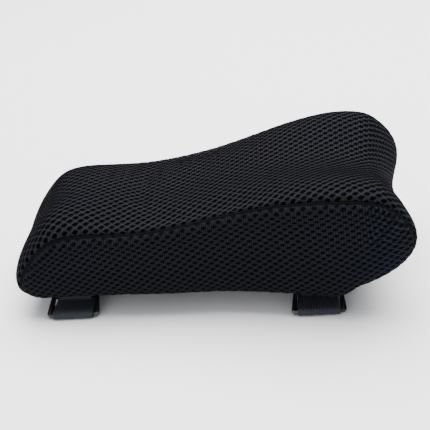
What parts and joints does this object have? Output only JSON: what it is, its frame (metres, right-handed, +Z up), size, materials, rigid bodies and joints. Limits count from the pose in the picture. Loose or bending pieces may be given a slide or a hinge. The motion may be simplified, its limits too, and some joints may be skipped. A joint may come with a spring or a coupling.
{
  "type": "chair armrest pad",
  "caption": "Wedge-shaped foam armrest pad with a raised elbow end, in a zipped air-mesh cover, with two elastic straps that fold back through rings under the pad.",
  "frame": {"origin": "middle of the footprint, on the surface that the folded straps stand on", "axes": "+X along the pad towards the raised elbow end, +Y across it towards the sewn ends of the straps, +Z up out of the top"},
  "size_m": [0.248, 0.1216, 0.0851],
  "materials": {
    "mesh": "black spacer mesh with open diamond cells",
    "foam": "slow-recovery foam",
    "webbing": "ribbed black elastic webbing",
    "ring": "gloss black enamelled ring",
    "zip_tape": "black woven tape",
    "zip_coil": "black nylon coil",
    "zip_metal": "black painted die casting",
    "touch_fastener": "black hook and loop tape",
    "thread": "black sewing thread"
  },
  "bodies": {
    "pad": {"foam_core": "foam", "top_strip": "mesh", "left_side_panel": "mesh", "right_side_panel": "mesh", "base_left_panel": "mesh", "base_right_panel": "mesh", "zipper_tape_left": "zip_tape", "zipper_tape_right": "zip_tape", "zipper_coil_left": "zip_coil", "zipper_coil_right": "zip_coil", "zipper_stops": "zip_metal", "front_anchor": "webbing", "front_riser": "webbing", "front_keeper": "webbing", "front_stitches": "thread", "rear_anchor": "webbing", "rear_riser": "webbing", "rear_keeper": "webbing", "rear_stitches": "thread"},
    "front_strap_body": {"front_strap": "webbing", "front_ring": "ring", "front_loop_patch": "touch_fastener"},
    "front_tail_body": {"front_tail": "webbing", "front_hook_patch": "touch_fastener"},
    "rear_strap_body": {"rear_strap": "webbing", "rear_ring": "ring", "rear_loop_patch": "touch_fastener"},
    "rear_tail_body": {"rear_tail": "webbing", "rear_hook_patch": "touch_fastener"},
    "slider_body": {"zipper_slider": "zip_metal"},
    "pull_body": {"zipper_pull": "zip_metal"}
  },
  "joints": [
    {"name": "front_strap_drop", "type": "slide", "parent": "pad", "child": "front_strap_body", "axis": [0, 0, -1], "range_m": [0, 0.03], "stiffness_N_per_m": 120, "deforming": ["front_riser", "front_keeper"]},
    {"name": "front_tail_peel", "type": "hinge", "parent": "front_strap_body", "child": "front_tail_body", "pos_m": [-0.0885, -0.04704, 0], "axis": [-1, 0, 0], "range_deg": [0, 165]},
    {"name": "rear_strap_drop", "type": "slide", "parent": "pad", "child": "rear_strap_body", "axis": [0, 0, -1], "range_m": [0, 0.03], "stiffness_N_per_m": 120, "deforming": ["rear_riser", "rear_keeper"]},
    {"name": "rear_tail_peel", "type": "hinge", "parent": "rear_strap_body", "child": "rear_tail_body", "pos_m": [0.066, -0.05499, 0], "axis": [-1, 0, 0], "range_deg": [0, 165]},
    {"name": "zipper_slide", "type": "slide", "parent": "pad", "child": "slider_body", "axis": [1, 0, 0], "range_m": [0, 0.092]},
    {"name": "zipper_pull_swing", "type": "hinge", "parent": "slider_body", "child": "pull_body", "pos_m": [-0.0449, 0, 0.0113], "axis": [0, -1, 0], "range_deg": [-44, 130]}
  ]
}
